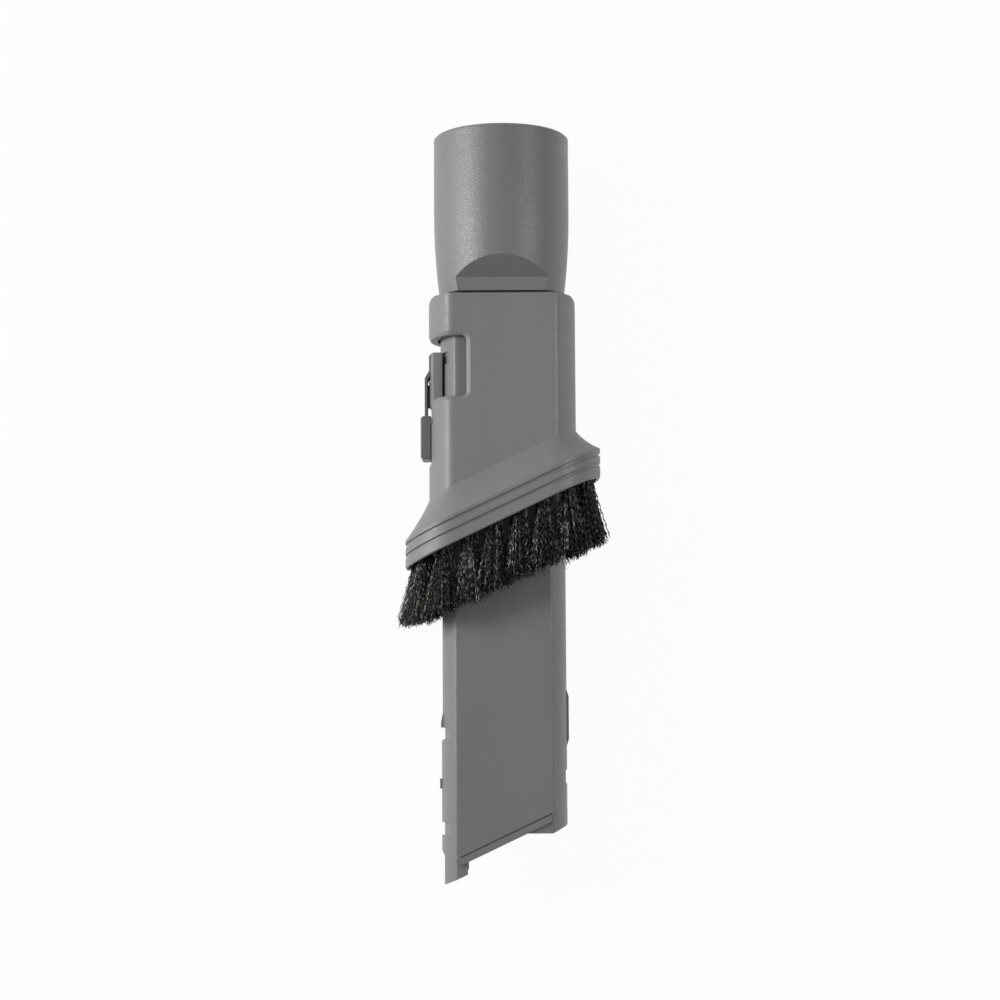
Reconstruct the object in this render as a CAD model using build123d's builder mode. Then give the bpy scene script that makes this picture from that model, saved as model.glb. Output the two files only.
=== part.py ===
from build123d import *
import os
from math import cos, radians, sin, tan

# A vacuum crevice tool with a dusting brush that slides down its flat nozzle.
# It lies on its back: X runs across the tool, Y along it towards the wand socket
# and Z up, out of its front face. The origin is on the socket's axis, just inside its
# mouth, and a station is a distance from it down the tool. Lengths are in millimetres.

# Wand socket and neck
socket_radius = 17.5
socket_depth = 31.0
socket_lead_in = 0.8
socket_mouth = 2.0
neck_radius = 20.0
neck_straight = 21.0
neck_length = 45.9
neck_foot_radius = 18.4
neck_edge = 0.6
scallop_top = 35.8
scallop_foot = 42.0
scallop_land = 13.2

# Flat nozzle
nozzle_depth = 11.0
nozzle_flat = 13.9
nozzle_reach = 18.2
nozzle_corner = 1.2
passage_radius = 16.2
passage_depth = 9.1
passage_start = 44.0

# Slanted mouth of the nozzle and the strips that stop the brush above it
slant = 25.2
mouth_station = 208.9
mouth_leg = -10.6
mouth_step_station = 202.4
strip_station = 203.4
strip_width = 2.0
strip_height = 0.7
strip_groove_width = 0.45
strip_groove_depth = 0.35
strip_left = -12.6
strip_right = 13.5

# Left edge of the nozzle: land, notches, guide channel and tell-tale
land_reach = 17.8
catch_reach = 18.3
catch_foot = 5.2
catch_start = 4.2
catch_crest = 1.6
catch_half_width = 4.5
notch_depth = 0.8
notch_width = 3.5
low_notch_station = 199.4
low_notch_width = 4.0
channel_half_width = 3.3
channel_floor = 16.4
channel_wall = 1.5
detent_height = 0.4
detent_width = 1.0
bump_station = 186.7
bump_length = 3.5
bump_height = 0.5
bump_half_width = 2.4
bump_bevel = 0.4
foot_chamfer_station = 207.4
foot_reach = 17.3
foot_chamfer = 1.4

# Right edge of the nozzle: rib and notch
rib_station = 161.5
rib_length = 16.3
rib_height = 0.6
rib_half_width = 0.8
rib_taper = 2.0
dent_station = 184.4
dent_length = 4.3
dent_depth = 0.9
dent_half_width = 4.0

# Sliding sleeve
neck_gap = 0.7
slide_gap = 0.3
side_gap = 0.85
flat_gap = 0.55
sleeve_depth = 13.5
sleeve_flat = 15.7
sleeve_reach = 21.6
sleeve_corner = 3.5
sleeve_shoulder = 2.2
stop_gap = 0.3
travel = 109.5

# Window and finger of the latch in the sleeve's left edge
window_station = 58.9
window_length = 17.8
window_right = 10.4
window_corner = 1.5
window_bevel = 0.6
finger_half_width = 7.0
finger_gap = 4.2
slot_length = 12.3

# Flare and rim of the brush
crease_station = 95.9
flare_mid_station = 100.6
flare_share = 0.42
rim_station = 104.8
rim_face_station = 113.1
rim_half_length = 31.5
rim_half_width = 20.0
rim_corner = 16.5
groove_depth = 0.45
groove_stations = [105.8, 108.95]
groove_widths = [1.3, 1.1]
rim_edge = 0.4
rim_wall = 1.3

# Tuft carrier
throat_clearance = 1.2
throat_corner = 9.0
carrier_gap = 0.1
carrier_height = 5.5
carrier_inset = 0.5
flare_step = 2.6

# Bristle tufts and their anchors
tuft_count = 19
tuft_hole_radius = 2.3
tuft_hole_depth = 4.5
tuft_edge_wall = 0.8
tuft_fit = 0.05
tuft_length = 19.3
tuft_end_radius = 3.7
tuft_lean = 4.0
tuft_first_x = 4.5
tuft_floor_margin = 0.4
anchor_thickness = 0.4
anchor_height = 1.4
anchor_bite = 0.15
anchor_station = 0.8

# Release lever and its spring
pocket_station = 80.1
pocket_length = 14.4
pocket_ramp = 2.1
pocket_floor = 20.0
pocket_half_width = 5.5
pad_station = 81.5
pad_length = 12.7
pad_inner = 21.0
pad_outer = 24.0
pad_half_width = 5.0
pad_corner = 1.0
pivot_station = 83.4
pivot_reach = 20.4
pivot_radius = 0.5
pivot_half_length = 6.6
pivot_gap = 0.06
arm_outer = 22.8
arm_thickness = 0.8
arm_half_width = 4.0
arm_top = 70.3
block_outer = 21.5
block_inner = 19.4
block_half_width = 4.2
block_length = 5.6
block_gap = 0.2
block_bevel = 0.4
nose_reach = 16.9
nose_length = 3.0
nose_half_width = 3.0
guard_reach = 22.2
guard_root = 19.6
guard_near = 4.4
guard_thickness = 1.2
spring_radius = 1.9
spring_wire = 0.4
spring_station = 90.0
spring_hole_radius = 2.3
spring_hole_depth = 2.0
spring_pitch = 0.8
spring_gap = 0.05

# Values that follow from the sizes above
slope = tan(radians(slant))
nozzle_end = mouth_station + slope * nozzle_reach + 1.0
sleeve_top = neck_length + neck_gap
bore_depth = nozzle_depth + slide_gap
bore_flat = nozzle_flat + flat_gap
bore_reach = nozzle_reach + side_gap
throat_station = strip_station - stop_gap - travel
throat_half_width = nozzle_depth + throat_clearance
throat_half_length = (bore_reach + slide_gap) / cos(radians(slant))
recess_station = rim_face_station - carrier_inset - carrier_height
recess_half_width = rim_half_width - rim_wall
recess_half_length = rim_half_length - rim_wall
recess_corner = rim_corner - rim_wall
carrier_half_width = recess_half_width - carrier_gap
carrier_half_length = recess_half_length - carrier_gap
carrier_corner = recess_corner - carrier_gap
carrier_face = rim_face_station - carrier_inset
tuft_line_half_width = carrier_half_width - tuft_edge_wall - tuft_hole_radius
tuft_line_half_length = carrier_half_length - tuft_edge_wall - tuft_hole_radius / cos(radians(slant))
tuft_line_corner = carrier_corner - tuft_edge_wall - tuft_hole_radius
block_station = window_station + finger_gap + block_gap
notch_station = window_station + finger_gap
deployed_notch_station = notch_station + travel - stop_gap
channel_start = notch_station
channel_end = block_station + nose_length + travel + stop_gap


def across(station):
    """Plane square across the tool at a station, looking down the tool."""
    return Plane.XZ.offset(station)


def slanted(station):
    """Plane parallel to the slanted mouth that crosses the tool's axis at a station."""
    lean = radians(slant)
    return Plane(origin=(0, -station, 0), x_dir=(cos(lean), sin(lean), 0), z_dir=(sin(lean), -cos(lean), 0))


def oval(depth, flat, reach, corner):
    """Section with flat front and back faces and bowed sides."""
    with BuildSketch() as section:
        with BuildLine():
            front = Line((-flat, depth), (flat, depth))
            ThreePointArc(front @ 1, (reach, 0), (flat, -depth))
            back = Line((flat, -depth), (-flat, -depth))
            ThreePointArc(back @ 1, (-reach, 0), front @ 0)
        make_face()
        if corner > 0:
            fillet(section.vertices(), corner)
    return section.sketch


def outline(half_length, half_width, corner):
    """Rounded outline of the brush head, drawn on a slanted plane."""
    with BuildSketch() as shape:
        RectangleRounded(2 * half_length, 2 * half_width, corner)
    return shape.sketch


def side_shape(points):
    """Outline in the XY plane, with each point given as X and station."""
    with BuildSketch() as shape:
        with BuildLine():
            Polyline([(x, -station) for x, station in points], close=True)
        make_face()
    return shape.sketch


down_the_tool = (0, -1, 0)

# Air passage: a round way that narrows front to back into the flat nozzle,
# kept thicker on the left where the guide channel runs
with BuildPart() as air_passage:
    with BuildSketch(across(socket_depth - 1)):
        Circle(passage_radius)
    extrude(amount=nozzle_end - socket_depth + 10)
    with BuildSketch(Plane.YZ):
        with BuildLine():
            Polyline(
                (-socket_depth + 1, passage_radius),
                (-socket_depth, passage_radius),
                (-passage_start, passage_depth),
                (-nozzle_end - 9, passage_depth),
                (-nozzle_end - 9, -passage_depth),
                (-passage_start, -passage_depth),
                (-socket_depth, -passage_radius),
                (-socket_depth + 1, -passage_radius),
                close=True,
            )
        make_face()
    extrude(amount=neck_radius, both=True, mode=Mode.INTERSECT)
    with BuildSketch(Plane.XY):
        add(side_shape([
            (-neck_radius, channel_start - channel_wall),
            (-channel_floor + channel_wall, channel_start - channel_wall),
            (-channel_floor + channel_wall, channel_end + channel_wall),
            (-neck_radius, channel_end + channel_wall),
        ]))
    extrude(amount=channel_half_width + channel_wall, both=True, mode=Mode.SUBTRACT)

# Crevice nozzle: one moulding with the round wand socket at its head
with BuildPart() as crevice_nozzle:
    with BuildSketch(Plane.XY):
        with BuildLine():
            rim_line = Line((0, socket_mouth), (neck_radius - neck_edge, socket_mouth))
            bevel_line = Line(rim_line @ 1, (neck_radius, socket_mouth - neck_edge))
            wall_line = Line(bevel_line @ 1, (neck_radius, -neck_straight))
            taper_line = TangentArc(wall_line @ 1, (neck_foot_radius, -neck_length), tangent=wall_line % 1)
            Polyline(taper_line @ 1, (0, -neck_length), (0, socket_mouth))
        make_face()
    revolve(axis=Axis.Y)
    with BuildSketch(Plane.YZ):
        with BuildLine():
            Polyline(
                (-scallop_top, neck_radius),
                (-scallop_foot, scallop_land),
                (-neck_length - 1, scallop_land),
                (-neck_length - 1, neck_radius + 1),
                (-scallop_top, neck_radius + 1),
                close=True,
            )
        make_face()
        mirror(about=Plane.XZ)
    extrude(amount=neck_radius, both=True, mode=Mode.SUBTRACT)
    with BuildSketch(across(neck_length)):
        add(oval(nozzle_depth, nozzle_flat, nozzle_reach, nozzle_corner))
    extrude(amount=nozzle_end - neck_length)

    # Catch ramp and tell-tale bump on the left edge, rib on the right edge
    with BuildSketch(Plane.XY):
        add(side_shape([
            (-passage_radius, deployed_notch_station - catch_foot),
            (-land_reach, deployed_notch_station - catch_start),
            (-catch_reach, deployed_notch_station - catch_crest),
            (-catch_reach, deployed_notch_station),
            (-passage_radius, deployed_notch_station),
        ]))
    extrude(amount=catch_half_width, both=True)
    with BuildSketch(Plane.XY):
        add(side_shape([
            (-passage_radius, bump_station),
            (-nozzle_reach - bump_height, bump_station + bump_bevel),
            (-nozzle_reach - bump_height, bump_station + bump_length - bump_bevel),
            (-passage_radius, bump_station + bump_length),
        ]))
    extrude(amount=bump_half_width, both=True)
    with BuildSketch(Plane.XY):
        add(side_shape([
            (passage_radius + 0.5, rib_station),
            (nozzle_reach, rib_station),
            (nozzle_reach + rib_height, rib_station + rib_taper),
            (nozzle_reach + rib_height, rib_station + rib_length - rib_taper),
            (nozzle_reach, rib_station + rib_length),
            (passage_radius + 0.5, rib_station + rib_length),
        ]))
    extrude(amount=rib_half_width, both=True)

    # Flat land, foot chamfer and dent
    with BuildSketch(Plane.XY):
        add(side_shape([
            (-neck_radius, notch_station + notch_width),
            (-land_reach, notch_station + notch_width),
            (-land_reach, deployed_notch_station - catch_start),
            (-neck_radius, deployed_notch_station - catch_start),
        ]))
        add(side_shape([
            (-neck_radius, foot_chamfer_station),
            (-nozzle_reach, foot_chamfer_station),
            (-foot_reach, foot_chamfer_station + foot_chamfer),
            (-foot_reach, nozzle_end + 1),
            (-neck_radius, nozzle_end + 1),
        ]))
    extrude(amount=nozzle_depth + 1, both=True, mode=Mode.SUBTRACT)
    with BuildSketch(Plane.XY):
        add(side_shape([
            (nozzle_reach + 1, dent_station),
            (nozzle_reach, dent_station),
            (nozzle_reach - dent_depth, dent_station + dent_depth),
            (nozzle_reach - dent_depth, dent_station + dent_length - dent_depth),
            (nozzle_reach, dent_station + dent_length),
            (nozzle_reach + 1, dent_station + dent_length),
        ]))
    extrude(amount=dent_half_width, both=True, mode=Mode.SUBTRACT)

    # Notches that wrap the left edge
    for station, width in [
        (notch_station, notch_width),
        (deployed_notch_station, notch_width),
        (low_notch_station, low_notch_width),
    ]:
        with BuildSketch(across(station)):
            with Locations((-nozzle_reach, 0)):
                Rectangle(2 * (nozzle_reach - nozzle_flat + 1), 2 * nozzle_depth + 2)
            add(
                oval(nozzle_depth + 2, nozzle_flat - notch_depth, nozzle_reach - notch_depth, 0),
                mode=Mode.SUBTRACT,
            )
        extrude(amount=width, mode=Mode.SUBTRACT)

    # Guide channel for the latch, with a low detent beside each catch notch
    with BuildSketch(Plane.XY):
        add(side_shape([
            (-neck_radius, channel_start),
            (-channel_floor, channel_start),
            (-channel_floor, notch_station + notch_width),
            (-channel_floor - detent_height, notch_station + notch_width + detent_width / 3),
            (-channel_floor - detent_height, notch_station + notch_width + detent_width),
            (-channel_floor, notch_station + notch_width + 2 * detent_width),
            (-channel_floor, deployed_notch_station - 2 * detent_width),
            (-channel_floor - detent_height, deployed_notch_station - detent_width),
            (-channel_floor - detent_height, deployed_notch_station - detent_width / 3),
            (-channel_floor, deployed_notch_station),
            (-channel_floor, channel_end),
            (-neck_radius, channel_end),
        ]))
    extrude(amount=channel_half_width, both=True, mode=Mode.SUBTRACT)

    # Stop strips on the front and back faces, each with a fine groove above it
    with BuildSketch(Plane.XY.offset(nozzle_depth - 0.5)):
        add(side_shape([
            (strip_left, strip_station - slope * strip_left),
            (strip_right, strip_station - slope * strip_right),
            (strip_right, strip_station + strip_width - slope * strip_right),
            (strip_left, strip_station + strip_width - slope * strip_left),
        ]))
    strip = extrude(amount=strip_height + 0.5)
    mirror(strip, about=Plane.XY)
    with BuildSketch(Plane.XY.offset(nozzle_depth)):
        add(side_shape([
            (strip_left, strip_station - strip_groove_width - slope * strip_left),
            (strip_right, strip_station - strip_groove_width - slope * strip_right),
            (strip_right, strip_station - slope * strip_right),
            (strip_left, strip_station - slope * strip_left),
        ]))
    groove = extrude(amount=-strip_groove_depth, mode=Mode.SUBTRACT)
    mirror(groove, about=Plane.XY, mode=Mode.SUBTRACT)

    # Slanted mouth, with both flat walls cut back from the left leg
    split(bisect_by=slanted(mouth_station), keep=Keep.BOTTOM)
    with BuildSketch(Plane.XY):
        add(side_shape([
            (mouth_leg, nozzle_end + 1),
            (mouth_leg, strip_station + strip_width - slope * mouth_leg),
            ((strip_station + strip_width - mouth_step_station) / slope, mouth_step_station),
            ((mouth_station - mouth_step_station) / slope, mouth_step_station),
            (neck_radius, mouth_step_station + 5),
            (neck_radius, nozzle_end + 1),
        ]))
    extrude(amount=neck_radius, both=True, mode=Mode.SUBTRACT)

    # Hollow, with a lead-in at the socket's mouth
    add(air_passage.part, mode=Mode.SUBTRACT)
    with BuildSketch(Plane.XY):
        with BuildLine():
            Polyline(
                (0, socket_mouth),
                (socket_radius + socket_lead_in, socket_mouth),
                (socket_radius, socket_mouth - socket_lead_in),
                (socket_radius, -socket_depth),
                (0, -socket_depth),
                close=True,
            )
        make_face()
    revolve(axis=Axis.Y, mode=Mode.SUBTRACT)

# Hollow of the sleeve: a bore that runs on the nozzle, a wider throat that passes
# over the stop strips, a step that follows the flare and the carrier's recess
with BuildPart() as brush_hollow:
    with BuildSketch(across(sleeve_top - 1)):
        add(oval(bore_depth, bore_flat, bore_reach, 0))
    extrude(amount=rim_face_station - sleeve_top + 1)
    with BuildSketch(slanted(throat_station)):
        add(outline(throat_half_length, throat_half_width, throat_corner))
    extrude(amount=recess_station - throat_station + 1, dir=down_the_tool)
    with BuildSketch(slanted(flare_mid_station)):
        add(outline(
            throat_half_length + flare_step,
            throat_half_width + flare_step,
            throat_corner + flare_step,
        ))
    extrude(amount=recess_station - flare_mid_station + 1, dir=down_the_tool)
    with BuildSketch(slanted(recess_station)):
        add(outline(recess_half_length, recess_half_width, recess_corner))
    extrude(amount=carrier_height + carrier_inset + 2, dir=down_the_tool)

# Upper sleeve: a bowed tube that slides on the nozzle, cut off at the slanted crease
with BuildPart() as sleeve_tube:
    with BuildSketch(across(sleeve_top)):
        add(oval(sleeve_depth, sleeve_flat, sleeve_reach, sleeve_corner))
    extrude(amount=crease_station - sleeve_top + slope * sleeve_reach + 1)
    split(bisect_by=slanted(crease_station), keep=Keep.BOTTOM)
    with BuildSketch(Plane.XY):
        with BuildLine():
            Polyline(
                (-sleeve_reach, -rim_face_station),
                (-sleeve_reach, -sleeve_top),
                (sleeve_reach, -sleeve_top),
                (sleeve_reach, -rim_face_station),
                close=True,
            )
        shoulders = make_face()
        fillet(shoulders.vertices().group_by(Axis.Y)[-1], sleeve_shoulder)
    extrude(amount=sleeve_depth, both=True, mode=Mode.INTERSECT)
    crease = sleeve_tube.faces().filter_by(lambda face: abs(face.normal_at().X) > 0.1).sort_by(Axis.Y)[0]
    add(brush_hollow.part, mode=Mode.SUBTRACT)

    # Latch window at both left corners, joined by a gap above the finger
    with BuildSketch(Plane.XY):
        with BuildLine():
            Polyline(
                (-neck_radius - 5, -window_station),
                (-window_right, -window_station),
                (-window_right, -window_station - window_length),
                (-neck_radius - 5, -window_station - window_length),
                close=True,
            )
        window = make_face()
        fillet(window.vertices().group_by(Axis.X)[-1], window_corner)
    window_cut = extrude(amount=neck_radius, both=True, mode=Mode.PRIVATE)
    with BuildSketch(Plane.XY):
        add(side_shape([
            (-neck_radius - 6, window_station + finger_gap),
            (-nozzle_flat, window_station + finger_gap),
            (-nozzle_flat, window_station + window_length + 1),
            (-neck_radius - 6, window_station + window_length + 1),
        ]))
    finger_block = extrude(amount=finger_half_width, both=True, mode=Mode.PRIVATE)
    add(window_cut - finger_block, mode=Mode.SUBTRACT)
    with BuildSketch(Plane.XY):
        add(side_shape([
            (-neck_radius - 5, window_station + finger_gap - 0.5),
            (-nozzle_flat, window_station + finger_gap - 0.5),
            (-nozzle_flat, window_station + slot_length),
            (-neck_radius - 5, window_station + slot_length),
        ]))
    extrude(amount=block_half_width + slide_gap, both=True, mode=Mode.SUBTRACT)

    for face_height in (sleeve_depth, -sleeve_depth):
        window_edges = (
            sleeve_tube.edges()
            .filter_by_position(Axis.Z, face_height - 0.01, face_height + 0.01)
            .filter_by_position(Axis.X, -window_right - window_corner - 0.01, -window_right + 0.01)
            .filter_by_position(Axis.Y, -window_station - window_length - 0.01, -window_station + 0.01)
        )
        chamfer(window_edges, window_bevel)

    # Pocket behind the push pad, with snap-in sockets for the lever's pivot
    with BuildSketch(Plane.XY):
        add(side_shape([
            (-neck_radius - 5, pocket_station - pocket_ramp),
            (-sleeve_reach - 0.1, pocket_station - pocket_ramp),
            (-pocket_floor, pocket_station),
            (-pocket_floor, pocket_station + pocket_length),
            (-sleeve_reach - 0.1, pocket_station + pocket_length + pocket_ramp),
            (-neck_radius - 5, pocket_station + pocket_length + pocket_ramp),
        ]))
    extrude(amount=pocket_half_width, both=True, mode=Mode.SUBTRACT)
    with BuildSketch(Plane.XY):
        with Locations((-pivot_reach, -pivot_station)):
            Circle(pivot_radius + pivot_gap)
    extrude(amount=pivot_half_length + pivot_gap, both=True, mode=Mode.SUBTRACT)

    # Low rib behind the lever's arm, which shields it
    with BuildSketch(Plane.XY.offset(-guard_near)):
        add(side_shape([
            (-guard_root, window_station + slot_length),
            (-guard_reach, window_station + slot_length),
            (-guard_reach, pocket_station - pocket_ramp),
            (-guard_root, pocket_station - pocket_ramp),
        ]))
    extrude(amount=-guard_thickness)

# Sections of the flare between the crease and the rim
with BuildSketch(slanted(flare_mid_station)) as flare_mid:
    add(outline(
        sleeve_reach / cos(radians(slant)) * (1 - flare_share) + rim_half_length * flare_share,
        sleeve_depth * (1 - flare_share) + rim_half_width * flare_share,
        rim_corner * (1 - flare_share / 2),
    ))
with BuildSketch(slanted(rim_station)) as flare_end:
    add(outline(rim_half_length, rim_half_width, rim_corner))

# Brush head: flares from the crease to the grooved rim
with BuildPart() as brush_head:
    loft([crease, flare_mid.sketch.face(), flare_end.sketch.face()])
    extrude(flare_end.sketch.face(), amount=rim_face_station - rim_station, dir=down_the_tool)
    for station, width in zip(groove_stations, groove_widths):
        with BuildSketch(slanted(station)):
            add(outline(rim_half_length + 1, rim_half_width + 1, rim_corner + 1))
            add(
                outline(
                    rim_half_length - groove_depth,
                    rim_half_width - groove_depth,
                    rim_corner - groove_depth,
                ),
                mode=Mode.SUBTRACT,
            )
        extrude(amount=width, dir=down_the_tool, mode=Mode.SUBTRACT)
    fillet(brush_head.faces().sort_by(Axis((0, 0, 0), slanted(0).z_dir))[-1].edges(), rim_edge)
    add(brush_hollow.part, mode=Mode.SUBTRACT)

# Brush sleeve: tube and head are one moulding
with BuildPart() as brush_sleeve:
    add(sleeve_tube.part)
    add(brush_head.part)

# Seats of the tufts: evenly spaced along a line round the carrier
right_half = FilletPolyline(
    (0, tuft_line_half_width),
    (tuft_line_half_length, tuft_line_half_width),
    (tuft_line_half_length, -tuft_line_half_width),
    (0, -tuft_line_half_width),
    radius=tuft_line_corner,
)
left_half = FilletPolyline(
    (0, -tuft_line_half_width),
    (-tuft_line_half_length, -tuft_line_half_width),
    (-tuft_line_half_length, tuft_line_half_width),
    (0, tuft_line_half_width),
    radius=tuft_line_corner,
)
tuft_seats = []
tuft_tangents = []
for number in range(tuft_count):
    distance = tuft_first_x / cos(radians(slant)) + number * 2 * right_half.length / tuft_count
    half_turns, share = divmod(distance / right_half.length, 1)
    half_line = left_half if half_turns % 2 else right_half
    tuft_seats.append(half_line.position_at(share))
    tuft_tangents.append(half_line.tangent_at(share))
tuft_spots = [(seat.X, seat.Y) for seat in tuft_seats]
hole_long = tuft_hole_radius / cos(radians(slant))

# Anchors: a flat staple across the foot of each hole, which grips the folded bristles
with BuildPart() as tuft_anchors:
    for x, y in tuft_spots:
        with BuildSketch(slanted(carrier_face - tuft_hole_depth + anchor_station)):
            with Locations((x, y)):
                Rectangle(anchor_thickness, 2 * (tuft_hole_radius + anchor_bite))
        extrude(amount=anchor_height, dir=down_the_tool)

# Tuft carrier: a slanted ring with a blind hole for each tuft
with BuildPart() as tuft_carrier:
    with BuildSketch(slanted(recess_station)):
        add(outline(carrier_half_length, carrier_half_width, carrier_corner))
        add(outline(throat_half_length, throat_half_width, throat_corner), mode=Mode.SUBTRACT)
    extrude(amount=carrier_height, dir=down_the_tool)
    with BuildSketch(slanted(carrier_face - tuft_hole_depth)):
        with Locations(*tuft_spots):
            Ellipse(hole_long, tuft_hole_radius)
    extrude(amount=tuft_hole_depth + 1, dir=down_the_tool, mode=Mode.SUBTRACT)
    add(tuft_anchors.part, mode=Mode.SUBTRACT)

# Release lever: push pad, pivot, arm and hook, moulded in one
with BuildPart() as release_lever:
    pad_end = pad_station + pad_length
    with BuildSketch(Plane.XY):
        add(side_shape([
            (-pad_inner, pad_station),
            (-pad_outer, pad_station),
            (-pad_outer, pad_end),
            (-pad_inner, pad_end),
        ]))
    extrude(amount=pad_half_width, both=True)
    fillet(release_lever.edges().filter_by(Axis.Z).group_by(Axis.X)[0], pad_corner)
    fillet(release_lever.edges().group_by(Axis.X)[0], block_bevel)
    with BuildSketch(Plane.XY):
        add(side_shape([
            (-arm_outer, pad_station + 1),
            (-arm_outer, arm_top),
            (-block_outer, block_station + block_length - 1),
            (-block_outer + arm_thickness, block_station + block_length),
            (-arm_outer + arm_thickness, arm_top + arm_thickness / 2),
            (-arm_outer + arm_thickness, pad_station + 1),
        ]))
    extrude(amount=arm_half_width, both=True)
    with BuildSketch(Plane.XY):
        add(side_shape([
            (-block_inner, block_station),
            (-block_outer + block_bevel, block_station),
            (-block_outer, block_station + block_bevel),
            (-block_outer, block_station + block_length),
            (-block_inner, block_station + block_length),
        ]))
    extrude(amount=block_half_width, both=True)
    with BuildSketch(Plane.XY):
        add(side_shape([
            (-block_inner - 0.5, block_station),
            (-nose_reach - block_bevel, block_station),
            (-nose_reach, block_station + block_bevel),
            (-nose_reach, block_station + nose_length - block_bevel),
            (-nose_reach - 0.4, block_station + nose_length),
            (-block_inner - 0.5, block_station + nose_length + 0.8),
        ]))
    extrude(amount=nose_half_width, both=True)
    with BuildSketch(Plane.XY):
        add(side_shape([
            (-pad_inner - 0.2, pivot_station - pivot_radius),
            (-pivot_reach, pivot_station - pivot_radius),
            (-pivot_reach, pivot_station + pivot_radius),
            (-pad_inner - 0.2, pivot_station + pivot_radius),
        ]))
    extrude(amount=pad_half_width, both=True)
    with BuildSketch(Plane.XY):
        with Locations((-pivot_reach, -pivot_station)):
            Circle(pivot_radius)
    extrude(amount=pivot_half_length, both=True)
    with BuildSketch(Plane.YZ.offset(-pad_inner)):
        with Locations((-spring_station, 0)):
            Circle(spring_hole_radius)
    extrude(amount=-spring_hole_depth, mode=Mode.SUBTRACT)

# Return spring between the pocket's floor and the blind hole in the pad
spring_foot = -pocket_floor - spring_wire / 2 - spring_gap
spring_head = -pad_inner - spring_hole_depth + spring_wire / 2 + spring_gap
with BuildPart() as release_spring:
    with BuildLine():
        coil = Helix(
            pitch=spring_pitch,
            height=spring_foot - spring_head,
            radius=spring_radius - spring_wire / 2,
            center=(spring_head, -spring_station, 0),
            direction=(1, 0, 0),
        )
    with BuildSketch(Plane(origin=coil @ 0, z_dir=coil % 0)):
        Circle(spring_wire / 2)
    sweep()

# Bristle tufts: a round root in the carrier's hole, then a splayed, slanted brush
tufts = []
for seat, tangent in zip(tuft_seats, tuft_tangents):
    with BuildPart() as tuft:
        outward = Vector(-tangent.Y, tangent.X)
        spread_z = tuft_lean * outward.Y
        lowest = tuft_floor_margin + tuft_end_radius - rim_half_width
        foot_x = seat.X + tuft_lean * outward.X
        foot_y = max(seat.Y + spread_z, lowest)
        with BuildSketch(slanted(carrier_face - tuft_hole_depth)):
            with Locations((seat.X, seat.Y)):
                Ellipse(hole_long - tuft_fit, tuft_hole_radius - tuft_fit)
        extrude(amount=tuft_hole_depth, dir=down_the_tool)
        with BuildSketch(slanted(carrier_face)):
            with Locations((seat.X, seat.Y)):
                Ellipse(hole_long - tuft_fit, tuft_hole_radius - tuft_fit)
        with BuildSketch(slanted(carrier_face + tuft_length)):
            with Locations((foot_x, foot_y)):
                Circle(tuft_end_radius)
        loft()
        add(tuft_anchors.part, mode=Mode.SUBTRACT)
    tufts.append(tuft.part)

# Finished pieces
crevice_nozzle.part.label = "crevice_nozzle"
brush_sleeve.part.label = "brush_sleeve"
tuft_carrier.part.label = "tuft_carrier"
tuft_anchors.part.label = "tuft_anchors"
release_lever.part.label = "release_lever"
release_spring.part.label = "release_spring"
for number, piece in enumerate(tufts, start=1):
    piece.label = f"tuft_{number:02d}"

os.makedirs("parts", exist_ok=True)
export_step(crevice_nozzle.part, "parts/crevice_nozzle.step")
export_step(brush_sleeve.part, "parts/brush_sleeve.step")
export_step(tuft_carrier.part, "parts/tuft_carrier.step")
export_step(tuft_anchors.part, "parts/tuft_anchors.step")
export_step(release_lever.part, "parts/release_lever.step")
export_step(release_spring.part, "parts/release_spring.step")
for piece in tufts:
    export_step(piece, f"parts/{piece.label}.step")
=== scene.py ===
import random
from math import cos, pi, radians, sin, tan

import bpy
from mathutils import Euler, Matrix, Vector


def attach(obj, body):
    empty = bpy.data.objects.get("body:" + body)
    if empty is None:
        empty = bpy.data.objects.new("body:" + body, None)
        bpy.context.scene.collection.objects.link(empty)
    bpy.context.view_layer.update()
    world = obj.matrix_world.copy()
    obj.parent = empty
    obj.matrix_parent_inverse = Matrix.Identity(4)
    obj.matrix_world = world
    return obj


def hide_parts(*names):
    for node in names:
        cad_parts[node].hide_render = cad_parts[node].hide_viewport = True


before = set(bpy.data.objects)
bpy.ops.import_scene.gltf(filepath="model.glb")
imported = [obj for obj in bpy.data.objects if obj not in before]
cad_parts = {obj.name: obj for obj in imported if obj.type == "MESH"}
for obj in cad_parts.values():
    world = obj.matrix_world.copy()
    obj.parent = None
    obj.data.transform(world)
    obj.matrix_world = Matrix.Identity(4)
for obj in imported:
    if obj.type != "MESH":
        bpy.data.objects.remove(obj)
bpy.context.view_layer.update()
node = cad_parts

# Crevice nozzle. One long moulding in grey ABS, from the round wand socket at
# its head to the slanted mouth. The mould's spark-eroded surface gives it a
# fine even grain, and its edges have worn a little lighter.


class Link:
    """A socket of a finish, with arithmetic that adds Math nodes."""

    def __init__(self, finish, socket):
        self.finish = finish
        self.socket = socket

    def maths(self, operation, first, second):
        return self.finish.add("ShaderNodeMath", {"operation": operation}, {0: first, 1: second})

    def __add__(self, other):
        return self.maths("ADD", self, other)

    def __radd__(self, other):
        return self.maths("ADD", other, self)

    def __sub__(self, other):
        return self.maths("SUBTRACT", self, other)

    def __rsub__(self, other):
        return self.maths("SUBTRACT", other, self)

    def __mul__(self, other):
        return self.maths("MULTIPLY", self, other)

    def __rmul__(self, other):
        return self.maths("MULTIPLY", other, self)


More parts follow.
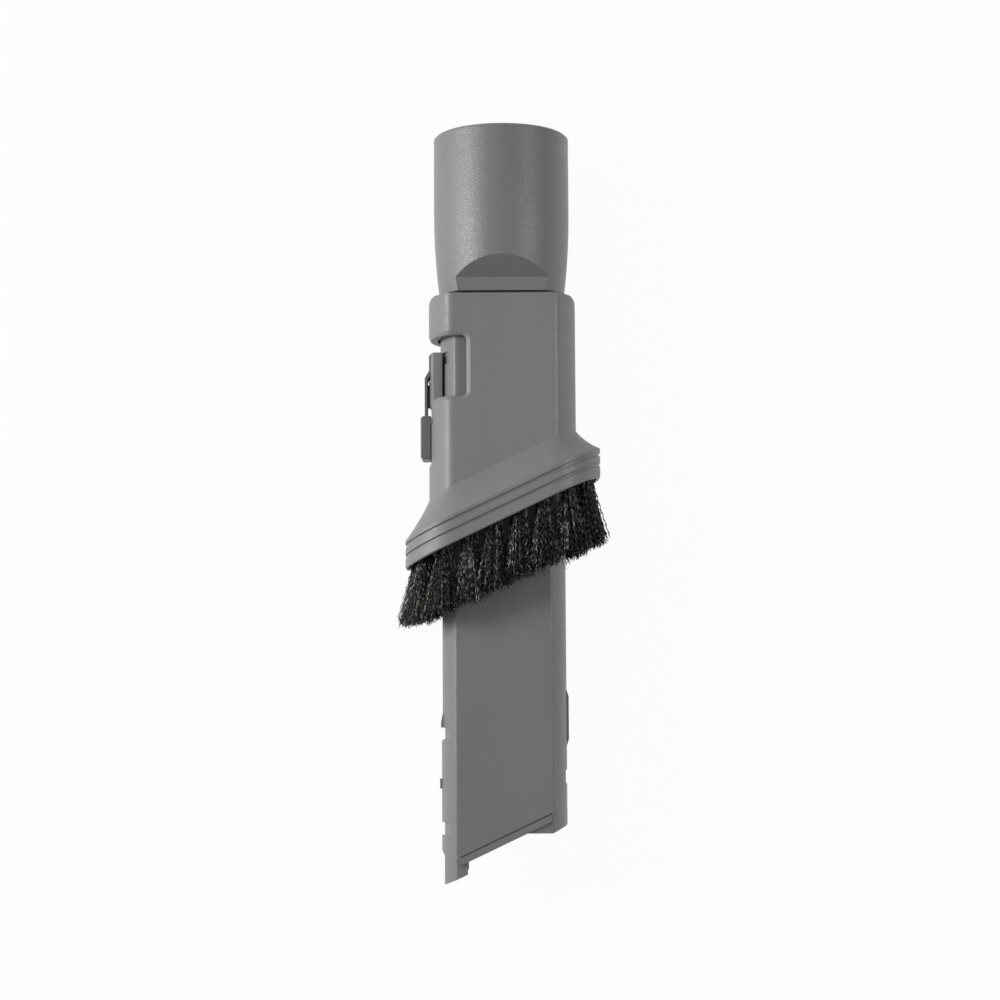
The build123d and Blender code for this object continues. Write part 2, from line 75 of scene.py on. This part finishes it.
class Finish:
    """A material being built up from nodes."""

    def __init__(self, name):
        self.material = bpy.data.materials.new(name)
        self.material.use_nodes = True
        self.tree = self.material.node_tree
        self.shader = self.tree.nodes["Principled BSDF"]

    def join(self, value, socket):
        if isinstance(value, Link):
            self.tree.links.new(value.socket, socket)
        else:
            socket.default_value = value

    def add(self, kind, settings=None, inputs=None, output=0):
        made = self.tree.nodes.new(kind)
        for name, value in (settings or {}).items():
            setattr(made, name, value)
        for name, value in (inputs or {}).items():
            self.join(value, made.inputs[name])
        return Link(self, made.outputs[output])

    def blend(self, share, first, second):
        inputs = {0: share, 6: first, 7: second}
        return self.add("ShaderNodeMix", {"data_type": "RGBA"}, inputs, output=2)

    def between(self, value, low, high, to_low=0.0, to_high=1.0):
        span = {"From Min": low, "From Max": high, "To Min": to_low, "To Max": to_high}
        return self.add("ShaderNodeMapRange", {"clamp": True}, {"Value": value, **span})

    def noise(self, place, scale, detail=2.0, roughness=0.5):
        return self.add("ShaderNodeTexNoise", {}, {
            "Vector": place, "Scale": scale, "Detail": detail, "Roughness": roughness,
        })

    def set(self, **values):
        for name, value in values.items():
            self.join(value, self.shader.inputs[name.replace("_", " ")])
        return self.material


def moulded_plastic(name, colour, grain_size, grain_depth, gloss, edge_radius):
    """Grey moulded plastic: eroded grain, faint flow marks, worn edges and a few pale flecks."""
    coarse_share = 0.35
    flow_stretch = (1.0, 0.22, 1.0)
    flow_scale, cloud_scale, scuff_scale, fleck_scale = 90, 22, 160, 110
    speck_share, scuff_share, fleck_share = 0.22, 0.55, 0.18
    dark = [0.94 * part for part in colour] + [1]
    light = [1.05 * part for part in colour] + [1]
    pitted = [0.72 * part for part in colour] + [1]
    worn = [1.35 * part + 0.01 for part in colour] + [1]
    finish = Finish(name)
    place = finish.add("ShaderNodeTexCoord", output="Object")
    grain = finish.noise(place, 1 / grain_size, 3.0, 0.6)
    coarse = finish.noise(place, coarse_share / grain_size)
    along = finish.add("ShaderNodeMapping", {}, {"Vector": place, "Scale": flow_stretch})
    flow = finish.noise(along, flow_scale, 3.0, 0.55)
    cloud = finish.noise(place, cloud_scale)
    rounded = finish.add("ShaderNodeBevel", {"samples": 6}, {"Radius": edge_radius})
    facing = finish.add("ShaderNodeNewGeometry", output="Normal")
    same = finish.add("ShaderNodeVectorMath", {"operation": "DOT_PRODUCT"}, {
        0: rounded, 1: facing,
    }, output="Value")
    edge = finish.between(1 - same, 0.02, 0.25)
    body = finish.blend(finish.between(flow * 0.5 + cloud * 0.5, 0.35, 0.65), dark, light)
    speck = finish.between(grain, 0.40, 0.62)
    toned = finish.blend(speck * speck_share, body, pitted)
    scuff = finish.between(finish.noise(place, scuff_scale, 4.0, 0.7), 0.35, 0.6)
    cells = finish.add("ShaderNodeTexVoronoi", {}, {
        "Vector": place, "Scale": fleck_scale,
    }, output="Distance")
    fleck = finish.between(cells, 0.045, 0.02) * finish.between(cloud, 0.45, 0.55)
    wear = edge * scuff * scuff_share + fleck * fleck_share
    finish.set(Base_Color=finish.blend(wear, toned, worn))
    finish.set(Roughness=finish.between(coarse, 0.3, 0.7, gloss - 0.05, gloss + 0.07))
    height = grain * 0.7 + coarse * 0.3
    bumped = finish.add("ShaderNodeBump", {}, {
        "Strength": 1.0, "Distance": grain_depth, "Height": height, "Normal": rounded,
    })
    return finish.set(Normal=bumped, Metallic=0.0)


def dress(part, material):
    """Give a carried-over part its finish."""
    part.data.materials.clear()
    part.data.materials.append(material)


nozzle_grey = (0.190, 0.191, 0.189)
dress(node["crevice_nozzle"], moulded_plastic(
    "nozzle_plastic", nozzle_grey,
    grain_size=0.00038, grain_depth=0.00014, gloss=0.32, edge_radius=0.0003,
))

# Brush sleeve. The moving half of the tool: a bowed sleeve that flares into the
# slanted brush head, in the same grey ABS from another mould, so it is a shade
# cooler. Two fine grooves run round its rim.
sleeve_grey = (0.206, 0.214, 0.212)
dress(node["brush_sleeve"], moulded_plastic(
    "sleeve_plastic", sleeve_grey,
    grain_size=0.00036, grain_depth=0.00007, gloss=0.40, edge_radius=0.00035,
))

# Tuft carrier. A ring fixed inside the rim, coloured near black. Only its lower face shows, and
# its colour makes the ground between the roots of the tufts dark.
carrier_black = (0.012, 0.012, 0.012)
dress(node["tuft_carrier"], moulded_plastic(
    "carrier_plastic", carrier_black,
    grain_size=0.0005, grain_depth=0.00002, gloss=0.6, edge_radius=0.0002,
))

# Bristle tufts. Crimped black nylon bristle, folded double into each hole and
# trimmed in one slanted cut. Each tuft is a few hundred thin tubes that leave
# the hole together and splay towards their free ends.
slant = radians(25.2)
rim_normal = Vector((sin(slant), -cos(slant), 0))
hole_depth = 0.0045
buried = 0.0012
floor_height = -0.0200

bristles_in_tuft = 240
bristle_radius = 0.00013
tip_taper = 0.6
bristle_points = 24
bristle_length = 0.0193
length_scatter = 0.0011
trim_steps = (0.0002, 0.0004, 0.0012)
end_loss = 0.0019
end_reach = 0.027
first_seed = 700

crimp_depth = 0.00045
crimp_length = 0.0023
root_spread = 0.0020
spread_along = 0.0050
spread_across = 0.0037
swing_along = 0.20
swing_across = 0.12
stray_share = 0.03
stray_reach = 1.3
lean_share = 0.70

bristle_section = bpy.data.curves.new("bristle_section", "CURVE")
bristle_section.dimensions = "3D"
triangle = bristle_section.splines.new("POLY")
triangle.points.add(2)
for corner, point in enumerate(triangle.points):
    turn = 2 * pi * corner / 3
    point.co = (bristle_radius * cos(turn), bristle_radius * sin(turn), 0, 1)
triangle.use_cyclic_u = True
section_shape = bpy.data.objects.new("bristle_section", bristle_section)
bpy.context.scene.collection.objects.link(section_shape)


def bristle_black():
    """Near-black fibre, browner in some places than in others, with pale painted glints on its
    crimps.
    """
    mottle_scale, glint_scale, brown_scale = 900, 800, 90
    finish = Finish("bristles")
    place = finish.add("ShaderNodeTexCoord", output="Object")
    strand = finish.add("ShaderNodeAttribute", {"attribute_name": "strand"}, output="Fac")
    mottle = finish.between(finish.noise(place, mottle_scale, 2.0, 0.6), 0.35, 0.65)
    # Painted highlight: a near-white colour on some strands, broken into short bits by this
    # noise, stands in for light glinting off the crimps.
    glint = finish.between(finish.noise(place, glint_scale), 0.50, 0.64)
    painted_glint_mask = finish.between(strand, 0.45, 0.95) * (glint * 0.92 + 0.08)
    brown = finish.between(finish.noise(place, brown_scale) + strand * 0.2, 0.55, 0.75)
    dark = finish.blend(brown, (0.0015, 0.0014, 0.0013, 1), (0.006, 0.0035, 0.0025, 1))
    # The light colour here is the painted glint colour.
    light = finish.blend(brown, (0.620, 0.615, 0.590, 1), (0.420, 0.370, 0.320, 1))
    finish.set(Base_Color=finish.blend(painted_glint_mask, dark, light))
    finish.set(Roughness=finish.between(mottle + strand, 0.0, 2.0, 0.12, 0.26))
    ripple = finish.add("ShaderNodeBump", {}, {
        "Strength": 0.5, "Distance": 0.00002, "Height": mottle,
    })
    return finish.set(Normal=ripple, Specular_IOR_Level=0.3)


def middle(points):
    """Centre of the box round some points."""
    lows = Vector([min(point[axis] for point in points) for axis in range(3)])
    highs = Vector([max(point[axis] for point in points) for axis in range(3)])
    return (lows + highs) / 2


def add_bristle(curve, start, end, draw):
    """One crimped bristle from its root to its free end."""
    phase = draw.uniform(0, 2 * pi)
    crimp_turn = draw.uniform(0, 2 * pi)
    crimp_side = Vector((cos(crimp_turn), 0, sin(crimp_turn)))
    crimp = crimp_side * crimp_depth * draw.uniform(0.5, 1.4)
    waves = (start.y - end.y) / (crimp_length * draw.uniform(0.8, 1.25))
    lean_power = draw.uniform(1.0, 1.4)
    bristle = curve.splines.new("POLY")
    bristle.points.add(bristle_points - 1)
    for step, point in enumerate(bristle.points):
        share = step / (bristle_points - 1)
        sway = start.lerp(end, share ** lean_power)
        sway.y = start.y + (end.y - start.y) * share
        sway += crimp * sin(2 * pi * waves * share + phase) * min(1, 4 * share)
        sway.z = max(sway.z, floor_height + 0.0002)
        point.co = (*sway, 1)
    bristle.points[-1].radius = tip_taper


def make_tuft(solid, name, material, draw):
    """Bristles that fill a tuft's solid, from its root in the carrier to its trimmed end."""
    heights = [vertex.co.dot(rim_normal) for vertex in solid.data.vertices]
    low, high = min(heights), max(heights)
    root = middle([v.co for v, h in zip(solid.data.vertices, heights) if h < low + 1e-5])
    free = middle([v.co for v, h in zip(solid.data.vertices, heights) if h > high - 1e-5])
    lean = Vector((free.x - root.x, free.z - root.z))
    outward = lean.normalized()
    sideways = Vector((-outward.y, outward.x))
    face_station = -root.y + hole_depth + root.x * tan(slant)
    end_cut = end_loss * min(1, abs(root.x) / end_reach) ** 4
    curve = bpy.data.curves.new(name, "CURVE")
    curve.dimensions = "3D"
    curve.bevel_mode = "OBJECT"
    curve.bevel_object = section_shape
    curve.use_fill_caps = True
    for _ in range(bristles_in_tuft):
        spot = Vector((draw.gauss(0, 1), draw.gauss(0, 1)))
        spot = spot.normalized() * draw.random() ** 0.5
        swing = Vector((draw.gauss(0, swing_along), draw.gauss(0, swing_across)))
        stray = stray_reach if draw.random() < stray_share else 1.0
        along = (spot.x + swing.x) * spread_along * stray
        across = (spot.y + swing.y) * spread_across * stray
        root_spot = sideways * spot.x * root_spread + outward * spot.y * root_spread
        end_spot = lean * lean_share + sideways * along + outward * across
        start = Vector((root.x + root_spot.x, 0, root.z + root_spot.y))
        end = Vector((root.x + end_spot.x, 0, root.z + end_spot.y))
        end.z = max(end.z, floor_height + 0.0004)
        face_y = -face_station + start.x * tan(slant)
        start.y = face_y + buried
        length = bristle_length - end_cut - abs(draw.gauss(0, length_scatter))
        length += draw.choice(trim_steps) * stray
        tilt = Vector((end.x - start.x, end.z - start.z)).length
        end.y = face_y - (length * length - tilt * tilt) ** 0.5
        add_bristle(curve, start, end, draw)
    holder = bpy.data.objects.new(name, curve)
    bpy.context.scene.collection.objects.link(holder)
    bpy.context.view_layer.update()
    finished = holder.evaluated_get(bpy.context.evaluated_depsgraph_get())
    mesh = bpy.data.meshes.new_from_object(finished)
    bpy.data.objects.remove(holder)
    piece = bpy.data.objects.new(name, mesh)
    bpy.context.scene.collection.objects.link(piece)
    strand = mesh.attributes.new("strand", "FLOAT", "POINT")
    shades = [draw.random() for _ in range(bristles_in_tuft)]
    points_each = len(mesh.vertices) // bristles_in_tuft
    strand.data.foreach_set("value", [shade for shade in shades for _ in range(points_each)])
    mesh.materials.clear()
    mesh.materials.append(material)
    mesh.shade_smooth()
    return piece


bristle_finish = bristle_black()
tuft_nodes = sorted(name for name in node if name.startswith("tuft_") and name[5:].isdigit())
for number, solid_name in enumerate(tuft_nodes, start=1):
    draw = random.Random(first_seed + number)
    tuft = make_tuft(node[solid_name], f"bristle_tuft_{number:02d}", bristle_finish, draw)
    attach(tuft, "brush")
    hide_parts(solid_name)
bpy.data.objects.remove(section_shape)


# Tuft anchors and return spring. Flat staples of bright steel wire drive the
# folded bristles into the carrier, and a small coil of the same wire behind the
# push pad lifts it again.
def drawn_steel():
    """Bright drawn wire with fine drawing marks."""
    mark_scale = 3000
    finish = Finish("spring_steel")
    place = finish.add("ShaderNodeTexCoord", output="Object")
    marks = finish.noise(place, mark_scale, 3.0, 0.6)
    finish.set(Base_Color=finish.blend(marks, (0.42, 0.42, 0.43, 1), (0.62, 0.62, 0.61, 1)))
    finish.set(Roughness=finish.between(marks, 0.3, 0.7, 0.22, 0.38))
    return finish.set(Metallic=1.0)


steel = drawn_steel()
dress(node["tuft_anchors"], steel)
dress(node["release_spring"], steel)

# Release lever. Push pad, pivot, thin arm and hook in one grey acetal moulding,
# a little darker and smoother than the sleeve that it snaps into.
lever_grey = (0.166, 0.167, 0.166)
dress(node["release_lever"], moulded_plastic(
    "lever_plastic", lever_grey,
    grain_size=0.00036, grain_depth=0.00002, gloss=0.42, edge_radius=0.0003,
))

# The set: a plain white floor that the tool lies on, soft light from the upper
# left, weaker light from the right, and the camera above the tool's front face.
# Camera rays see the floor and the sky as white, whatever light falls on them.
floor_size = 6.0
seen_share = 0.95
mirrored_share = 0.6
paper_scale = 40
bpy.ops.mesh.primitive_plane_add(size=floor_size, location=(0, 0, floor_height))
floor = bpy.context.object
floor.name = "studio_floor"
floor_finish = Finish("studio_white")
sight = floor_finish.add("ShaderNodeLightPath", output="Is Camera Ray")
sheen = floor_finish.add("ShaderNodeLightPath", output="Is Glossy Ray")
paper = floor_finish.noise(floor_finish.add("ShaderNodeTexCoord", output="Object"), paper_scale)
paper_tone = floor_finish.blend(paper, (0.80, 0.80, 0.80, 1), (0.82, 0.82, 0.82, 1))
floor_finish.set(Base_Color=paper_tone, Roughness=0.9)
glow = floor_finish.add("ShaderNodeEmission", {}, {"Color": (1, 1, 1, 1), "Strength": 1.0})
lit = Link(floor_finish, floor_finish.shader.outputs[0])
seen = floor_finish.add("ShaderNodeMixShader", {}, {
    0: sight * seen_share + sheen * mirrored_share, 1: lit, 2: glow,
})
floor_finish.join(seen, floor_finish.tree.nodes["Material Output"].inputs["Surface"])
floor.data.materials.append(floor_finish.material)

sky_light = 0.31
world = bpy.data.worlds.new("studio")
bpy.context.scene.world = world
world.use_nodes = True
sky = world.node_tree.nodes["Background"]
sky.inputs["Color"].default_value = (1.0, 1.0, 1.0, 1)
seen_sky = world.node_tree.nodes.new("ShaderNodeMapRange")
seen_sky.inputs["To Min"].default_value = sky_light
seen_sky.inputs["To Max"].default_value = 1.0
sky_path = world.node_tree.nodes.new("ShaderNodeLightPath")
world.node_tree.links.new(sky_path.outputs["Is Camera Ray"], seen_sky.inputs["Value"])
world.node_tree.links.new(seen_sky.outputs["Result"], sky.inputs["Strength"])

aim = Vector((0, -0.108, 0))


def soft_light(name, place, size, power):
    """A square soft box turned to the middle of the tool."""
    lamp = bpy.data.lights.new(name, "AREA")
    lamp.shape = "SQUARE"
    lamp.size = size
    lamp.energy = power
    holder = bpy.data.objects.new(name, lamp)
    holder.location = place
    holder.rotation_euler = (aim - Vector(place)).to_track_quat("-Z", "Y").to_euler()
    bpy.context.scene.collection.objects.link(holder)


soft_light("left_wall", (-0.66, -0.02, 0.15), size=0.42, power=2.15)
soft_light("left_box", (-0.64, 0.06, 0.44), size=0.19, power=3.0)
soft_light("right_box", (0.55, 0.02, 0.50), size=0.15, power=1.3)

# The camera stands over the tool, aimed a little towards the wand socket
camera_height = 0.6416
camera_station = -0.1635
camera_offset = -0.0012
camera_pitch = radians(5.13)
camera_roll = radians(-0.33)
camera_data = bpy.data.cameras.new("camera")
camera_data.lens = 78.9
camera_data.sensor_width = 36
camera_data.sensor_fit = "HORIZONTAL"
camera = bpy.data.objects.new("camera", camera_data)
camera.location = (camera_offset, camera_station, camera_height)
camera.rotation_euler = Euler((camera_pitch, 0, camera_roll))
bpy.context.scene.collection.objects.link(camera)
bpy.context.scene.camera = camera
bpy.context.scene.view_settings.view_transform = "Standard"
